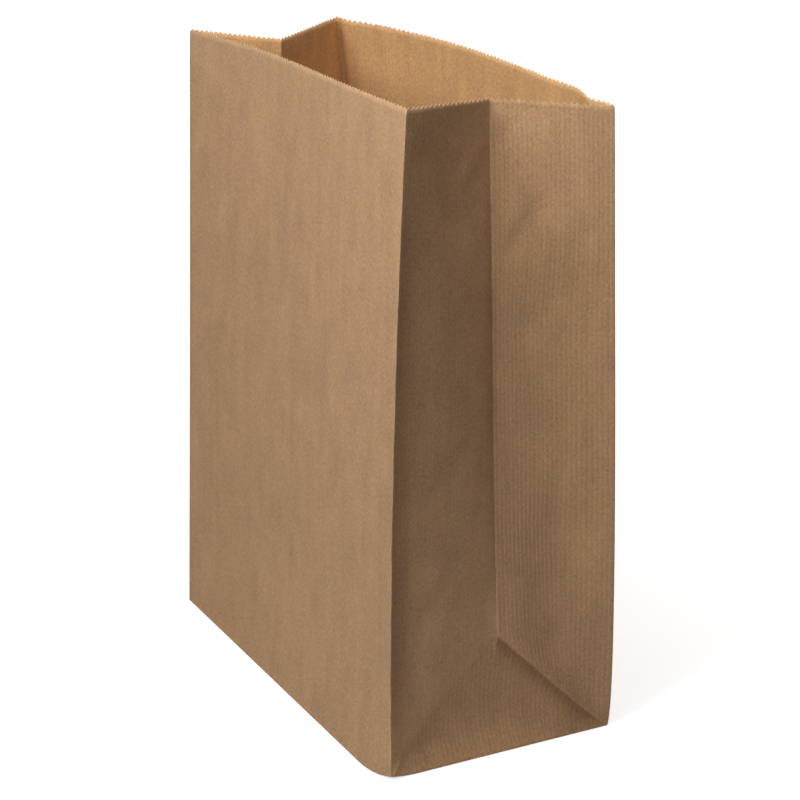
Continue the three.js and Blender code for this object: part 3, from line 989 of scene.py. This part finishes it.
def paperBag(sheet, tree):
    flat = throughNodes(sheetMesh(sheet), tree, {**finishing, "Paper": outsidePaper})
    points = np.empty(len(flat.vertices) * 3)
    flat.vertices.foreach_get("co", points)
    points = points.reshape(-1, 3)
    paper = bag["paper"] * mm
    direction = offsetDirections(points, sheet["faces"])
    outerShare, innerShare = seamOffsets(sheet)
    outer = points + direction * (outerShare * paper)[:, None]
    inner = points - direction * (innerShare * paper)[:, None]
    gap = np.hypot(points[:, 0] - cornerLift["at"][0] * mm, points[:, 1] - cornerLift["at"][1] * mm)
    lift = cornerLift["height"] * mm * np.maximum(0, 1 - gap / (cornerLift["reach"] * mm)) ** 2
    lift *= np.exp(-np.maximum(sheet["h"], 0) / cornerLift["fade"])
    outer[:, 2] += lift
    inner[:, 2] += lift
    foot = sheet["foot"]
    outer[foot, 2] = 2 * paper + lift[foot]
    inner[foot, 2] = 3 * paper + lift[foot]
    outer[:, 2] += bagLow.z
    inner[:, 2] += bagLow.z
    count = len(points)
    faces, slots, loopsU, loopsV = [], [], [], []
    strips = sheet["strips"]

    def paperU(vertex, strip):
        # running width of a vertex as this strip sees it, so that the UV map never wraps
        own = sheet["strip"][vertex] == strip
        local = sheet["u"][vertex] if own else strips[strip]["width"]
        return (strips[strip]["start"] + local) * mm

    for f, strip in zip(sheet["faces"], sheet["faceStrip"]):
        f = [int(v) for v in f]
        uv = [(paperU(v, strip), sheet["h"][v] * mm) for v in f]
        faces.append(f)
        slots.append(0)
        loopsU += [p[0] for p in uv]
        loopsV += [p[1] for p in uv]
        faces.append([v + count for v in reversed(f)])
        slots.append(1)
        loopsU += [p[0] for p in reversed(uv)]
        loopsV += [p[1] for p in reversed(uv)]
    rim = [int(v) for v in sheet["rim"]]
    for a, b in zip(rim, rim[1:] + rim[:1]):
        strip = sheet["strip"][a]
        faces.append([a, b, b + count, a + count])
        slots.append(2)
        loopsU += [paperU(a, strip), paperU(b, strip), paperU(b, strip), paperU(a, strip)]
        loopsV += [sheet["h"][a] * mm] * 4
    # floor of the bag, one ply, as a fan below and above
    foot = [int(v) for v in sheet["foot"]]
    below, above = 2 * count, 2 * count + 1
    for a, b in zip(foot, foot[1:] + foot[:1]):
        faces.append([below, b, a])
        faces.append([above, a + count, b + count])
        slots += [0, 1]
        for v in (None, b, a, None, a, b):
            place = (0.0, 0.0) if v is None else points[v][:2]
            loopsU.append(place[0])
            loopsV.append(place[1])
    centres = np.array([[0, 0, bagLow.z + 2 * paper], [0, 0, bagLow.z + 3 * paper]])
    vertices = np.concatenate([outer, inner, centres])
    for flap in baseFlaps:
        outline = flapOutline(flap)
        size, first = len(outline), len(vertices)
        rings = [
            [(x * mm, y * mm, bagLow.z + z * paper) for x, y in outline] for z in flap["plies"]
        ]
        vertices = np.concatenate([vertices, *[np.array(ring) for ring in rings]])
        bottom = [first + k for k in range(size)]
        walls = [(k, (k + 1) % size) for k in range(size)]
        flapFaces = [bottom[::-1], [v + size for v in bottom]]
        flapFaces += [[first + a, first + b, first + b + size, first + a + size] for a, b in walls]
        faces += flapFaces
        slots += [0, 0] + [2] * size
        for f in flapFaces:
            loopsU += [vertices[v][0] for v in f]
            loopsV += [vertices[v][1] for v in f]
    mesh = bpy.data.meshes.new("paper_bag_sheet")
    mesh.from_pydata(vertices.tolist(), [], faces)
    mesh.polygons.foreach_set("material_index", slots)
    flatAfter = 2 * len(sheet["faces"])  # the cut edge and the floor keep their own normals
    mesh.polygons.foreach_set("use_smooth", [k < flatAfter for k in range(len(faces))])
    layer = mesh.uv_layers.new(name="paper")
    layer.data.foreach_set("uv", np.stack([loopsU, loopsV], -1).ravel())
    onRim = np.zeros(len(vertices))
    onRim[rim] = 1.0
    onRim[np.array(rim) + count] = 1.0
    addAttribute(mesh, "cutEdge", "FLOAT", onRim)
    atFold = np.zeros(len(vertices))
    onTriangle = np.isin(sheet["strip"], (2, 5)) & (sheet["h"] < halfSide - 1)
    folded = np.tile((sheet["u"] < 1e-6) & ~onTriangle, 2)
    atFold[:2 * count][folded] = 1.0
    # rubbed creases in the bruised near corner
    bruise = np.hypot(sheet["u"] - 3.5, (sheet["h"] - 3.5) * 1.4)
    onCorner = (sheet["strip"] == 1) * 0.55 * np.exp(-(bruise / 2.6) ** 2)
    atFold[:count] = np.maximum(atFold[:count], onCorner)
    addAttribute(mesh, "fold", "FLOAT", atFold)
    # painted shade beside the folds outside; inside, a painted shadow in the groove beside the edge
    # of the seam's lap
    paintedShade = np.zeros(len(vertices))
    paintedShade[:count] = paintedShadeMap(sheet)
    beside = bag["panelWidth"] - seam["inset"] - 1.2 - sheet["u"]
    seamShadow = np.exp(-(beside / paintedShades["seam"]["width"]) ** 2) * paintedShades["seam"]["strength"]
    paintedShade[count:2 * count] = np.where(sheet["strip"] == 3, seamShadow, 0.0)
    addAttribute(mesh, "paintedShade", "FLOAT", np.clip(paintedShade, 0, 1))
    rib = np.full(len(vertices), 1.0)
    rib[:2 * count] = np.tile(ribStrength(sheet), 2)
    addAttribute(mesh, "rib", "FLOAT", rib)
    # the four side strips, which carry the painted warm light
    onSide = np.zeros(len(vertices))
    onSide[:2 * count] = np.tile(np.isin(sheet["strip"], (1, 2, 4, 5)), 2)
    addAttribute(mesh, "side", "FLOAT", onSide)
    for material in (outsidePaper, insidePaper, cutPaper):
        mesh.materials.append(material)
    mesh.validate()
    body = bpy.data.objects.new("paper_bag_sheet", mesh)
    bpy.context.scene.collection.objects.link(body)
    return body


body = paperBag(sheet, finishingTree())
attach(body, "root")
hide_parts("paper_bag")
print("bag built:", len(body.data.polygons), "faces")
